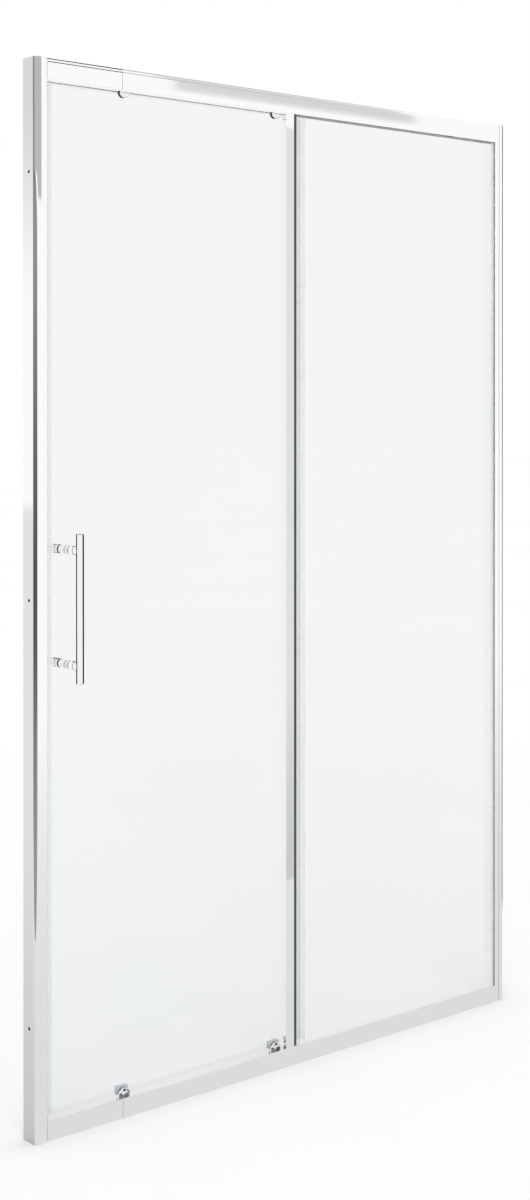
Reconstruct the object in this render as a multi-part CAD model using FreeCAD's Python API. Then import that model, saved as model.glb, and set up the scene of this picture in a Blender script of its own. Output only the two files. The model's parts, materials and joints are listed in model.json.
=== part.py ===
import FreeCAD, Part
import os

# Recess shower enclosure: aluminium frame, fixed pane on the right, sliding door pane behind it.
# X runs along the opening, -Y is the bathroom side, +Z is up.
# The origin is the middle of the bottom rail's underside. Everything is in millimetres.

V = FreeCAD.Vector

# --- overall ---
width = 1200.0                  # wall to wall
height = 1900.0

# --- wall channels and jambs ---
channel_width = 14.0            # how far a wall channel covers from the wall
channel_wall = 1.5
channel_nose = 7.0              # round bathroom-side corner
jamb_inner = 27.0               # wall to the jamb's inner face
jamb_wall = 1.5
jamb_insert = 7.0               # how deep the jamb sits in its channel
slide_fit = 0.3                 # between profiles that slide in each other

# --- rails ---
rail_wall = 1.5
top_lip = 38.0                  # height of the top rail's front wall
bottom_lip = 36.0
lip_step = 6.0                  # set-back strip at the top rail's upper front edge
lip_step_in = 1.2
lip_band = 10.0                 # band along the top rail's lower front edge
lip_band_in = 1.0
groove_wall = 1.3
groove_depth_top = 30.0
groove_depth_bottom = 30.0
rear_wall_bottom = 17.0         # bottom rail's rear wall
cover_wall = 1.2                # strip that closes the top groove beside the fixed pane
cover_leg = 8.0
cover_drop = 2.0                # how far that strip hangs below the top rail's front wall
end_piece_length = 160.0        # left end piece of each rail, up to the seam
seam_gap = 0.4
seam_recess = 0.4               # the end piece's front sits this much behind the rail's
port_offset = 6.5               # screw port axis from the rail's outer face
port_radius = 3.8
shelf_gap = 1.2                 # top rail's inner shelf to the roller carriers
joiner_length = 120.0
joiner_height = 4.0
joiner_side_gap = 0.95          # to the groove wall and to the screw port
joiner_head_inset = 0.5         # screw heads from the joiner's sides

# --- glass ---
glass = 5.0
gasket_wall = 2.0               # rubber on each side of the fixed pane
gasket_sink = 6.0               # rail gaskets end this far inside the rails' front walls
fixed_edge_gap = 2.0            # fixed pane's edge to the right jamb
pane_port_gap = 3.7             # panes and gaskets to the rails' screw ports
side_gasket_cover = 6.0         # how far the wall-side gasket covers the pane
side_gasket_inset = 0.5
pane_overlap = 50.5             # door pane behind the fixed pane
overlap_middle = 4.75           # middle of the overlap from the middle of the opening
door_bottom = 16.0

# --- post on the fixed pane's free edge ---
post_width = 20.6
post_wall = 1.2
post_side_gap = 0.1             # post in the glazing grooves
post_web_gap = 0.7              # post's web to the pane's edge
post_gasket_show = 6.5          # dark strip beside the post
post_lip_thick = 0.6            # dark strip proud of the gasket

# --- rollers ---
roller_inset_left = 164.0       # roller axis from the door pane's edge
roller_inset_right = 64.0
cap_radius = 10.0
cap_length = 9.0
cap_edge = 1.2
cap_head_gap = 0.6              # round the bolt's head
pass_gap = 1.2                  # roller caps behind the fixed pane's groove
bolt_radius = 3.0
bolt_head_radius = 5.0
bolt_head = 4.0
bush_radius = 7.0
carrier_width = 20.0
carrier_thick = 2.0
wheel_rise = 14.0               # wheel axis above the bolt axis
wheel_width = 6.0
top_wheel_radius = 11.0
bottom_wheel_radius = 8.0
wheel_groove = 1.8
rib_wall = 1.6
rib_side_gap = 0.4
wheel_gap = 0.3                 # groove floor to rib, over the whole travel
bearing_radius = 4.0
axle_radius = 2.0
axle_head_radius = 3.5
axle_head = 0.7
wheel_end_gap = 0.4
running = 0.05                  # radial gap of a turning fit
screw_fit = 0.05                # radial gap round a screw or sleeve
wheel_head_gap = 0.1
wheel_back_gap = 1.1            # wheels to the rails' rear walls
wheel_edge = 0.5
groove_flare = 0.4

# --- bottom release guides ---
guide_hole_radius = 10.0
guide_lift = 6.0                # release stroke
plate_radius = 12.0
plate_foot = 9.0                # flat foot below the button axis
plate_arch = 2.0                # arch centre below the button axis
plate_thick = 3.0
button_radius = 6.5
button_length = 6.0
button_edge = 1.0
button_stand = 0.3
pin_radius = 2.5
pin_slot_gap = 0.3
slider_width = 7.6
slider_thick = 1.6
slider_gap = 0.3
bottom_axle_drop = 16.0         # wheel axis below the button axis
lug_thick = 2.0                 # spring seat on the slider
lug_gap = 1.0                   # spring seat above the wheel
spring_radius = 2.3
spring_wire = 0.6
spring_turns = 6
spring_end_gap = 0.1
spring_side_gap = 0.4
housing_width = 24.0
housing_depth = 9.0
housing_back = 1.4
housing_top = 1.8
housing_clear = 0.4             # above the lifted slider
guide_screw_x = 7.0
guide_screw_radius = 1.2
guide_screw_head_radius = 2.2
guide_screw_head = 0.4
guide_screw_end_gap = 1.0

# --- door stops ---
handle_post_gap = 14.6          # handle to the post when the door is open
stop_length = 12.0
stop_height = 16.8
stop_gap = 0.3

# --- seals ---
edge_seal_wall = 1.0
edge_seal_grip = 9.0
closing_nose = 6.7
closing_gap = 0.3
jamb_seal_thick = 6.0
jamb_seal_width = 8.0
seal_end_gap = 3.0              # seal ends to the rail lips
fin_thick = 1.2
fin_gap = 0.3                   # fin tip to the fixed pane

# --- handle ---
handle_inset = 30.0             # from the door pane's closing edge
handle_z = 935.0
handle_pitch = 203.0
handle_bar_length = 263.0
handle_bar_radius = 7.0
handle_bar_edge = 0.8
handle_reach = 58.0             # bar axis in front of the pane
handle_hole_radius = 6.0
standoff_radius = 8.0
standoff_neck = 6.6
standoff_groove = 1.6
standoff_step = 0.4
standoff_grooves = (0.34, 0.56, 0.86)   # shares of the standoff's length
standoff_bite = 2.0             # standoff end past the bar's axis, before it is cut to the bar
washer_radius = 8.0
washer_thick = 0.8
stud_radius = 3.0
knob_radius = 7.8
knob_length = 22.5
knob_ring = 13.0                # ring groove from the knob's free end
knob_ring_depth = 1.2
knob_end_wall = 4.0
knob_edge = 1.0

# --- fasteners ---
wall_hole_radius = 3.0
wall_hole_pitch = 750.0
corner_screw_radius = 2.0
corner_screw_length = 25.0
corner_head_gap = 0.1
screw_head_radius = 3.6
screw_head = 2.2
jamb_screw_pitch = 830.0
jamb_screw_length = 5.0
screw_cap_radius = 4.9
screw_cap_height = 3.6
screw_cap_edge = 0.8

# --- derived planes, bathroom side to shower side ---
depth = (2 * rail_wall + 2 * gasket_wall + 2 * glass + groove_wall + pass_gap + cap_length
         + carrier_thick + wheel_end_gap + wheel_width + wheel_back_gap)
face_y = -depth / 2
back_y = depth / 2
groove_front = face_y + rail_wall
groove_back = groove_front + glass + 2 * gasket_wall
fixed_y = (groove_front + groove_back) / 2
track_front = groove_back + groove_wall
cap_front = track_front + pass_gap
door_front = cap_front + cap_length
door_back = door_front + glass
door_y = (door_front + door_back) / 2
carrier_back = door_back + carrier_thick
wheel_front = carrier_back + wheel_end_gap
wheel_back = wheel_front + wheel_width
wheel_y = (wheel_front + wheel_back) / 2
handle_y = door_front - handle_reach

# --- derived places along the opening ---
half = width / 2
jamb_x = -half + jamb_inner
seam_x = jamb_x + end_piece_length
jamb_screw_x = -half + channel_width - jamb_insert / 2
door_left = jamb_x + jamb_seal_thick + closing_gap + closing_nose
door_right = overlap_middle + pane_overlap / 2
fixed_left = overlap_middle - pane_overlap / 2
fixed_right = -jamb_x - fixed_edge_gap
post_left = fixed_left - post_web_gap - post_wall
post_right = post_left + post_width
roller_left = door_left + roller_inset_left
roller_right = door_right - roller_inset_right
rollers = (("left", roller_left), ("right", roller_right))
handle_x = door_left + handle_inset
door_travel = post_left - handle_x - standoff_radius - handle_post_gap

# --- derived heights ---
top_edge = height - top_lip
port_reach = port_offset + port_radius
pane_inset = port_reach + pane_port_gap
door_top = height - pane_inset
bolt_z = top_edge
top_axle_z = bolt_z + wheel_rise
guide_z = bottom_lip
bottom_axle_z = guide_z - bottom_axle_drop
seat_z = bottom_axle_z + bottom_wheel_radius + lug_gap + lug_thick
housing_roof = guide_z + slider_width / 2 + guide_lift + housing_clear
post_end = port_reach + slide_fit
seal_low = bottom_lip + seal_end_gap
seal_high = top_edge - seal_end_gap
handle_ends = (handle_z - handle_pitch / 2, handle_z + handle_pitch / 2)

# --- derived post, in the glazing grooves ---
post_front = groove_front + post_side_gap
post_back = groove_back - post_side_gap

# --- derived joiners, between the groove wall and the screw port ---
joiner_front = track_front + joiner_side_gap
joiner_back = door_y - port_radius - joiner_side_gap
joiner_y = (joiner_front + joiner_back) / 2
joiner_head_radius = (joiner_back - joiner_front) / 2 - joiner_head_inset


def box(x0, x1, y0, y1, z0, z1):
    return Part.makeBox(x1 - x0, y1 - y0, z1 - z0, V(x0, y0, z0))


def round_x(y, z, radius, x0, x1):
    return Part.makeCylinder(radius, x1 - x0, V(x0, y, z), V(1, 0, 0))


def round_y(x, z, radius, y0, y1):
    return Part.makeCylinder(radius, y1 - y0, V(x, y0, z), V(0, 1, 0))


def prism_x(outline, x0, x1):
    """A closed (y, z) outline drawn out from x0 to x1."""
    points = [V(x0, y, z) for y, z in outline]
    face = Part.Face(Part.makePolygon(points + points[:1]))
    return face.extrude(V(x1 - x0, 0, 0))


def turned_y(x, z, outline):
    """A closed (y, radius) outline turned about the axis along Y through x, z."""
    points = [V(x + radius, y, z) for y, radius in outline]
    face = Part.Face(Part.makePolygon(points + points[:1]))
    return face.revolve(V(x, 0, z), V(0, 1, 0), 360)


def mirrored(shape):
    return shape.mirror(V(0, 0, 0), V(1, 0, 0))


def group(shapes):
    return Part.makeCompound(shapes)


def save(name, shape):
    shape.exportStep("parts/" + name + ".step")


# --- wall channels and jambs, drawn for the left wall ---

def wall_hole_heights():
    return [height / 2 + step * wall_hole_pitch for step in (-1, 0, 1)]


def jamb_screw_heights():
    return [height / 2 + step * jamb_screw_pitch for step in (-1, 0, 1)]


def nosed_bar(x0, x1, y0, y1, nose):
    """Upright bar with its outer bathroom-side edge rounded."""
    bar = box(x0, x1, y0, y1, 0, height)
    edges = [e for e in bar.Edges if abs(e.Length - height) < 0.01
             and abs(e.CenterOfMass.x - x0) < 0.01 and abs(e.CenterOfMass.y - y0) < 0.01]
    return bar.makeFillet(nose, edges)


def wall_channel():
    outer = nosed_bar(-half, -half + channel_width, face_y, back_y, channel_nose)
    inner = nosed_bar(-half + channel_wall, -half + 2 * channel_width, face_y + channel_wall,
                      back_y - channel_wall, channel_nose - channel_wall)
    shape = outer.cut(inner)
    for z in wall_hole_heights():
        shape = shape.cut(round_x(0, z, wall_hole_radius, -half - 1, -half + channel_wall + 1))
    for z in jamb_screw_heights():
        shape = shape.cut(jamb_screw_hole(z))
    return shape


def jamb_screw_hole(z):
    radius = corner_screw_radius + screw_fit
    return round_y(jamb_screw_x, z, radius, 0, back_y + 1)


def jamb_front():
    return face_y + channel_wall + slide_fit


def jamb():
    front = jamb_front()
    back = back_y - channel_wall - slide_fit
    left = -half + channel_width - jamb_insert
    shape = box(left, jamb_x, front, back, 0, height)
    shape = shape.cut(box(left - 1, jamb_x - jamb_wall, front + jamb_wall, back - jamb_wall, -1, height + 1))
    for y, z in port_axes(0, 1) + port_axes(height, -1):
        radius = corner_screw_radius + screw_fit
        shape = shape.cut(round_x(y, z, radius, jamb_x - jamb_wall - 1, jamb_x + 1))
    for z in jamb_screw_heights():
        shape = shape.cut(jamb_screw_hole(z))
    return shape


# --- rails: one section each, cut into the left end piece and the main length ---

def port_axes(outer_z, up):
    return [(y, outer_z + up * port_offset) for y in (groove_back - port_radius, door_y)]


def screw_ports(outer_z, up, x0, x1):
    """Screw ports along a rail, each a round boss on a web to the rail's flat wall."""
    solids = []
    for y, z in port_axes(outer_z, up):
        low, high = sorted((outer_z + up * rail_wall / 2, z))
        solids.append(round_x(y, z, port_radius, x0, x1))
        solids.append(box(x0, x1, y - port_radius, y + port_radius, low, high))
    return solids


def bored_ports(shape, outer_z, up, x0, x1):
    for y, z in port_axes(outer_z, up):
        shape = shape.cut(round_x(y, z, corner_screw_radius, x0 - 1, x1 + 1))
    return shape


def top_section(x0, x1, recess):
    front = face_y + recess
    inner = front + lip_step_in + rail_wall
    lip = [(front + lip_step_in, height), (front + lip_step_in, height - lip_step),
           (front, height - lip_step - lip_step_in), (front, top_edge + lip_band),
           (front + lip_band_in, top_edge), (groove_front, top_edge),
           (groove_front, height - lip_step - lip_step_in - rail_wall), (inner, height - lip_step),
           (inner, height)]
    shape = prism_x(lip, x0, x1)
    solids = [box(x0, x1, inner - rail_wall, back_y, height - rail_wall, height),
              box(x0, x1, groove_back, track_front, height - groove_depth_top, height),
              box(x0, x1, back_y - rail_wall, back_y, top_edge, height),
              box(x0, x1, carrier_back + shelf_gap, back_y, top_edge, top_edge + rail_wall),
              rib(x0, x1, top_edge, top_axle_z - top_wheel_radius + wheel_groove - wheel_gap)]
    shape = shape.fuse(solids + screw_ports(height, -1, x0, x1)).removeSplitter()
    return bored_ports(shape, height, -1, x0, x1)


def rib(x0, x1, z0, z1):
    """Upstanding rib that the grooved wheels run on."""
    return box(x0, x1, wheel_y - rib_wall / 2, wheel_y + rib_wall / 2, z0, z1)


def bottom_section(x0, x1, recess):
    front = face_y + recess
    solids = [box(x0, x1, front, groove_front, 0, bottom_lip),
              box(x0, x1, groove_back, track_front, 0, groove_depth_bottom),
              box(x0, x1, back_y - rail_wall, back_y, 0, rear_wall_bottom),
              rib(x0, x1, 0, bottom_axle_z - bottom_wheel_radius + wheel_groove - wheel_gap)]
    shape = box(x0, x1, front, back_y, 0, rail_wall)
    shape = shape.fuse(solids + screw_ports(0, 1, x0, x1)).removeSplitter()
    return bored_ports(shape, 0, 1, x0, x1)


def joiner_holes_x():
    step = joiner_length / 4
    return [seam_x + factor * step for factor in (-1.5, -0.5, 0.5, 1.5)]


def rail_joiner(outer_z, up):
    """Flat bar inside a rail that bridges the seam."""
    near = outer_z + up * rail_wall
    low, high = sorted((near, near + up * joiner_height))
    shape = box(seam_x - joiner_length / 2, seam_x + joiner_length / 2,
                joiner_front, joiner_back, low, high)
    for x in joiner_holes_x():
        hole = Part.makeCylinder(corner_screw_radius + screw_fit, joiner_height, V(x, joiner_y, low))
        shape = shape.cut(hole)
    return shape


def joiner_screws(outer_z, up):
    """Set screws through a joiner, their heads on its inner face."""
    near = outer_z + up * rail_wall
    screws = []
    for x in joiner_holes_x():
        shank = Part.makeCylinder(corner_screw_radius, joiner_height, V(x, joiner_y, near), V(0, 0, up))
        seat = V(x, joiner_y, near + up * joiner_height)
        head = Part.makeCylinder(joiner_head_radius, screw_head, seat, V(0, 0, up))
        screws.append(shank.fuse(head))
    return screws


def top_groove_cover():
    """Clipped strip under the part of the top glazing groove that holds no pane."""
    low = top_edge - cover_drop
    high = low + cover_leg
    x1 = post_left - slide_fit
    shape = box(jamb_x, x1, post_front, post_back, low, high)
    return shape.cut(box(jamb_x - 1, x1 + 1, post_front + cover_wall, post_back - cover_wall,
                         low + cover_wall, high + 1))


# --- fixed pane ---

def fixed_glass():
    return box(fixed_left, fixed_right, fixed_y - glass / 2, fixed_y + glass / 2,
               pane_inset + gasket_wall, height - pane_inset - gasket_wall)


def rail_gasket(low, high):
    """U gasket that fills the glazing groove round the fixed pane's edge."""
    shape = box(post_right + slide_fit, fixed_right, groove_front, groove_back, low, high)
    return shape.cut(fixed_glass())


def side_gasket():
    shape = box(fixed_right - side_gasket_cover, -jamb_x, groove_front + side_gasket_inset,
                groove_back - side_gasket_inset, bottom_lip + slide_fit, top_edge - slide_fit)
    return shape.cut(fixed_glass())


def post_profile():
    shape = box(post_left, post_right, post_front, post_back, post_end, height - post_end)
    pocket = box(post_left + post_wall, post_right + 1, post_front + post_wall, post_back - post_wall,
                 -1, height + 1)
    return shape.cut(pocket)


def post_gasket():
    """Dark rubber round the pane's free edge; its front lip shows beside the post."""
    low = bottom_lip + slide_fit
    high = top_edge - slide_fit
    front = post_front + post_wall
    back = post_back - post_wall
    shape = box(fixed_left - post_web_gap, post_right, front, back, low, high)
    lip = box(post_right, post_right + post_gasket_show, front - post_lip_thick, fixed_y, low, high)
    return shape.fuse(lip).removeSplitter().cut(fixed_glass())


# --- door pane and its seals ---

def door_glass():
    shape = box(door_left, door_right, door_front, door_back, door_bottom, door_top)
    for _, x in rollers:
        shape = shape.cut(round_y(x, bolt_z, bush_radius, door_front - 1, door_back + 1))
        shape = shape.cut(round_y(x, guide_z, guide_hole_radius, door_front - 1, door_back + 1))
    for z in handle_ends:
        shape = shape.cut(round_y(handle_x, z, handle_hole_radius, door_front - 1, door_back + 1))
    return shape


def edge_grip(x0, x1):
    shape = box(x0, x1, door_front - edge_seal_wall, door_back + edge_seal_wall, seal_low, seal_high)
    pane = box(door_left, door_right, door_front, door_back, door_bottom, door_top)
    return shape.cut(pane)


def closing_seal():
    return edge_grip(door_left - closing_nose, door_left + edge_seal_grip)


def overlap_seal():
    """Rear edge seal whose fin wipes the back of the fixed pane."""
    x1 = door_right + edge_seal_wall
    fin = box(x1 - fin_thick, x1, fixed_y + glass / 2 + fin_gap, door_front - edge_seal_wall / 2,
              seal_low, seal_high)
    return edge_grip(door_right - edge_seal_grip, x1).fuse(fin).removeSplitter()


def jamb_seal():
    return box(jamb_x, jamb_x + jamb_seal_thick, door_y - jamb_seal_width / 2,
               door_y + jamb_seal_width / 2, seal_low, seal_high)


# --- top rollers ---

def roller_cap(x):
    bore = bolt_head_radius + cap_head_gap
    outline = [(door_front, bore), (door_front, cap_radius), (cap_front + cap_edge, cap_radius),
               (cap_front, cap_radius - cap_edge), (cap_front, 0), (door_front - bolt_head, 0),
               (door_front - bolt_head, bore)]
    return turned_y(x, bolt_z, outline)


def roller_bush(x):
    sleeve = round_y(x, bolt_z, bush_radius - screw_fit, door_front, door_back)
    return sleeve.cut(round_y(x, bolt_z, bolt_radius + screw_fit, door_front, door_back))


def roller_bolt(x):
    head = round_y(x, bolt_z, bolt_head_radius, door_front - bolt_head, door_front)
    return head.fuse(round_y(x, bolt_z, bolt_radius, door_front, carrier_back))


def roller_carrier(x):
    """Plate behind the glass with the wheel's axle above its bolt."""
    end = carrier_width / 2
    low = bolt_z - end
    shape = box(x - end, x + end, door_back, carrier_back, bolt_z, top_axle_z)
    shape = shape.fuse([round_y(x, z, end, door_back, carrier_back) for z in (bolt_z, top_axle_z)])
    shape = shape.removeSplitter().common(box(x - end, x + end, door_back, carrier_back, low, door_top))
    shape = shape.cut(round_y(x, bolt_z, bolt_radius + screw_fit, door_back, carrier_back))
    return shape.cut(round_y(x, top_axle_z, axle_radius + screw_fit, door_back, carrier_back))


def axle(x, z, root_y):
    shank = round_y(x, z, axle_radius, root_y, wheel_back + wheel_head_gap)
    head_y = wheel_back + wheel_head_gap
    return shank.fuse(round_y(x, z, axle_head_radius, head_y, head_y + axle_head))


def wheel_tyre(x, z, radius):
    """Nylon wheel with the groove that straddles the rib."""
    cheek = rib_wall / 2 + rib_side_gap
    floor = radius - wheel_groove
    outline = [(wheel_front, bearing_radius), (wheel_front, radius - wheel_edge),
               (wheel_front + wheel_edge, radius), (wheel_y - cheek - groove_flare, radius),
               (wheel_y - cheek, floor), (wheel_y + cheek, floor),
               (wheel_y + cheek + groove_flare, radius), (wheel_back - wheel_edge, radius),
               (wheel_back, radius - wheel_edge), (wheel_back, bearing_radius)]
    return turned_y(x, z, outline)


def wheel_bearing(x, z):
    ring = round_y(x, z, bearing_radius - screw_fit, wheel_front, wheel_back)
    return ring.cut(round_y(x, z, axle_radius + running, wheel_front, wheel_back))


# --- bottom release guides ---

def guide_plate(x):
    """Arched plate on the glass with a slotted spigot through its hole."""
    arch = guide_z - plate_arch
    foot = guide_z - plate_foot
    left = x - plate_radius
    right = x + plate_radius
    front = door_front - plate_thick
    shape = round_y(x, arch, plate_radius, front, door_front)
    shape = shape.fuse(box(left, right, front, door_front, foot, arch))
    shape = shape.common(box(left, right, front, door_front, foot, arch + plate_radius))
    spigot = round_y(x, guide_z, guide_hole_radius - screw_fit, door_front, door_back)
    shape = shape.fuse(spigot).removeSplitter()
    for sx in guide_screws_x(x):
        shape = shape.cut(round_y(sx, guide_z, guide_screw_radius, door_front, door_back))
    return shape.cut(pin_slot(x, front - 1, door_back + 1))


def guide_screws_x(x):
    return (x - guide_screw_x, x + guide_screw_x)


def pin_slot(x, y0, y1):
    half_slot = pin_radius + pin_slot_gap
    top = guide_z + guide_lift
    shape = box(x - half_slot, x + half_slot, y0, y1, guide_z, top)
    return shape.fuse([round_y(x, z, half_slot, y0, y1) for z in (guide_z, top)]).removeSplitter()


def guide_housing(x):
    """Block behind the glass: a channel for the slider, a bay for its spring."""
    low = bottom_axle_z + bottom_wheel_radius + guide_lift + slider_gap
    back = door_back + housing_depth
    half_bay = slider_width / 2 + slider_gap
    end = housing_width / 2
    shape = box(x - end, x + end, door_back, back, low, housing_roof + housing_top)
    bay = box(x - half_bay, x + half_bay, door_back, back - housing_back, low, housing_roof)
    shape = shape.cut(bay)
    for sx in guide_screws_x(x):
        shape = shape.cut(round_y(sx, guide_z, guide_screw_radius + screw_fit, door_back, back))
    return shape


def guide_screws(x):
    back = door_back + housing_depth
    screws = []
    for sx in guide_screws_x(x):
        shank = round_y(sx, guide_z, guide_screw_radius, door_front + guide_screw_end_gap, back)
        head = round_y(sx, guide_z, guide_screw_head_radius, back, back + guide_screw_head)
        screws.append(shank.fuse(head))
    return screws


def slider_front():
    return door_back + slider_gap


def guide_slider(x):
    """Strip that carries the wheel, the spring seat and the button's pin."""
    front = slider_front()
    back = front + slider_thick
    half_width = slider_width / 2
    low = bottom_axle_z - half_width
    shape = box(x - half_width, x + half_width, front, back, low, guide_z + half_width)
    lug_back = back + 2 * (spring_radius + spring_side_gap)
    lug = box(x - half_width, x + half_width, front, lug_back, seat_z - lug_thick, seat_z)
    pin = round_y(x, guide_z, pin_radius, door_front - plate_thick - button_stand, front)
    shape = shape.fuse([lug, pin]).removeSplitter()
    return shape.cut(round_y(x, bottom_axle_z, axle_radius + screw_fit, front, back))


def guide_spring(x):
    """Compression spring between the slider's seat and the housing's roof."""
    centre = slider_front() + slider_thick + spring_radius + spring_side_gap
    coil_radius = spring_radius - spring_wire / 2
    start = seat_z + spring_wire / 2 + spring_end_gap
    rise = housing_roof - spring_wire / 2 - spring_end_gap - start
    helix = Part.makeHelix(rise / spring_turns, rise, coil_radius)
    helix.translate(V(x, centre, start))
    section = Part.makeCircle(spring_wire / 2, V(x + coil_radius, centre, start), V(0, 1, 0))
    pipe = Part.Wire(helix).makePipeShell([Part.Wire(section)], True, True)
    return Part.Solid(pipe) if pipe.ShapeType == "Shell" else pipe


def release_button(x):
    back = door_front - plate_thick - button_stand
    tip = back - button_length
    outline = [(back, 0), (back, button_radius), (tip + button_edge, button_radius),
               (tip, button_radius - button_edge), (tip, 0)]
    return turned_y(x, guide_z, outline)


# --- door stops ---

def door_stops():
    """Rubber blocks on the rail's rear wall that end the wheels' travel."""
    low = top_axle_z - top_wheel_radius + wheel_groove + stop_gap
    ends = (roller_left - top_wheel_radius - stop_gap - stop_length,
            roller_right + door_travel + top_wheel_radius + stop_gap)
    return [box(x, x + stop_length, wheel_front, back_y - rail_wall, low, low + stop_height)
            for x in ends]


# --- handle ---

def plain_bar(radius):
    low = handle_z - handle_bar_length / 2
    return Part.makeCylinder(radius, handle_bar_length, V(handle_x, handle_y, low))


def handle_bar():
    bar = plain_bar(handle_bar_radius)
    bar = bar.makeChamfer(handle_bar_edge, [e for e in bar.Edges if len(e.Vertexes) == 1])
    for z in handle_ends:
        bar = bar.cut(round_y(handle_x, z, stud_radius + screw_fit, handle_y, 0))
    return bar


def standoff(z):
    """Turned spacer between the washer and the bar, with three grooves."""
    root = door_front - washer_thick
    tip = handle_y + standoff_bite
    span = root - handle_y - handle_bar_radius
    outer = standoff_radius - standoff_step
    outline = [(root, stud_radius + screw_fit), (root, standoff_radius)]
    for share in standoff_grooves:
        y = root - share * span
        outline += [(y, outer), (y, standoff_neck)]
        outline += [(y - standoff_groove, standoff_neck), (y - standoff_groove, outer)]
    outline += [(tip, outer), (tip, stud_radius + screw_fit)]
    shape = turned_y(handle_x, z, outline).cut(plain_bar(handle_bar_radius + screw_fit))
    return max(shape.Solids, key=lambda solid: solid.Volume)


def handle_stud(z):
    end = door_back + washer_thick + knob_length - knob_end_wall
    return round_y(handle_x, z, stud_radius, handle_y, end)


def handle_sleeve(z):
    sleeve = round_y(handle_x, z, handle_hole_radius - screw_fit, door_front, door_back)
    return sleeve.cut(round_y(handle_x, z, stud_radius + screw_fit, door_front, door_back))


def handle_washer(z, y):
    washer = round_y(handle_x, z, washer_radius, y, y + washer_thick)
    return washer.cut(round_y(handle_x, z, stud_radius + screw_fit, y, y + washer_thick))


def inner_knob(z):
    """Knob on the shower side, bored for the stud, with one ring groove."""
    root = door_back + washer_thick
    tip = root + knob_length
    ring = tip - knob_ring
    bore = stud_radius + screw_fit
    waist = knob_radius - knob_ring_depth
    outline = [(root, bore), (root, knob_radius), (ring - standoff_groove, knob_radius),
               (ring - standoff_groove, waist), (ring, waist), (ring, knob_radius),
               (tip - knob_edge, knob_radius), (tip, knob_radius - knob_edge), (tip, 0),
               (tip - knob_end_wall, 0), (tip - knob_end_wall, bore)]
    return turned_y(handle_x, z, outline)


# --- frame screws ---

def corner_screws():
    """Screws from inside each jamb into the rails' ports."""
    screws = []
    jamb_inside = jamb_front() + jamb_wall
    head_radius = groove_back - port_radius - jamb_inside - corner_head_gap
    for y, z in port_axes(0, 1) + port_axes(height, -1):
        head_x = jamb_x - jamb_wall
        head = round_x(y, z, head_radius, head_x - screw_head, head_x)
        shank = round_x(y, z, corner_screw_radius - screw_fit, head_x, head_x + corner_screw_length)
        screw = head.fuse(shank)
        screws += [screw, mirrored(screw)]
    return screws


def jamb_screws():
    screws = []
    for z in jamb_screw_heights():
        shank = round_y(jamb_screw_x, z, corner_screw_radius, back_y - jamb_screw_length, back_y)
        screw = shank.fuse(round_y(jamb_screw_x, z, screw_head_radius, back_y, back_y + screw_head))
        screws += [screw, mirrored(screw)]
    return screws


def screw_caps():
    caps = []
    for z in jamb_screw_heights():
        tip = back_y + screw_cap_height
        bore = screw_head_radius + screw_fit
        outline = [(back_y, bore), (back_y, screw_cap_radius), (tip - screw_cap_edge, screw_cap_radius),
                   (tip, screw_cap_radius - screw_cap_edge), (tip, 0), (back_y + screw_head, 0),
                   (back_y + screw_head, bore)]
        cap = turned_y(jamb_screw_x, z, outline)
        caps += [cap, mirrored(cap)]
    return caps


def save_frame():
    save("wall_channel_left", wall_channel())
    save("wall_channel_right", mirrored(wall_channel()))
    save("jamb_left", jamb())
    save("jamb_right", mirrored(jamb()))
    save("top_rail", top_section(seam_x + seam_gap, -jamb_x, 0))
    save("top_rail_end_piece", top_section(jamb_x, seam_x, seam_recess))
    save("bottom_rail", bottom_section(seam_x + seam_gap, -jamb_x, 0))
    save("bottom_rail_end_piece", bottom_section(jamb_x, seam_x, seam_recess))
    save("top_rail_joiner", rail_joiner(height, -1))
    save("bottom_rail_joiner", rail_joiner(0, 1))
    save("top_groove_cover", top_groove_cover())
    save("joiner_screws", group(joiner_screws(height, -1) + joiner_screws(0, 1)))
    save("corner_screws", group(corner_screws()))
    save("jamb_screws", group(jamb_screws()))
    save("screw_caps", group(screw_caps()))
    save("jamb_seal", jamb_seal())
    save("door_stops", group(door_stops()))


def save_fixed_pane():
    save("fixed_glass", fixed_glass())
    save("fixed_gasket_top", rail_gasket(top_edge + gasket_sink, height - pane_inset))
    save("fixed_gasket_bottom", rail_gasket(pane_inset, bottom_lip - gasket_sink))
    save("fixed_gasket_side", side_gasket())
    save("post_profile", post_profile())
    save("post_gasket", post_gasket())


def save_door():
    save("door_glass", door_glass())
    save("closing_seal", closing_seal())
    save("overlap_seal", overlap_seal())
    save("handle_bar", handle_bar())
    save("handle_standoffs", group([standoff(z) for z in handle_ends]))
    save("handle_studs", group([handle_stud(z) for z in handle_ends]))
    save("handle_sleeves", group([handle_sleeve(z) for z in handle_ends]))
    faces = (door_front - washer_thick, door_back)
    save("handle_washers", group([handle_washer(z, y) for z in handle_ends for y in faces]))
    save("handle_inner_knobs", group([inner_knob(z) for z in handle_ends]))


def save_rollers():
    for side, x in rollers:
        save("top_roller_cap_" + side, roller_cap(x))
        save("top_roller_carrier_" + side, roller_carrier(x))
        save("top_wheel_" + side, wheel_tyre(x, top_axle_z, top_wheel_radius))
        save("top_bearing_" + side, wheel_bearing(x, top_axle_z))
    save("top_roller_bushes", group([roller_bush(x) for _, x in rollers]))
    save("top_roller_bolts", group([roller_bolt(x) for _, x in rollers]))
    save("top_axles", group([axle(x, top_axle_z, door_back) for _, x in rollers]))


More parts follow.
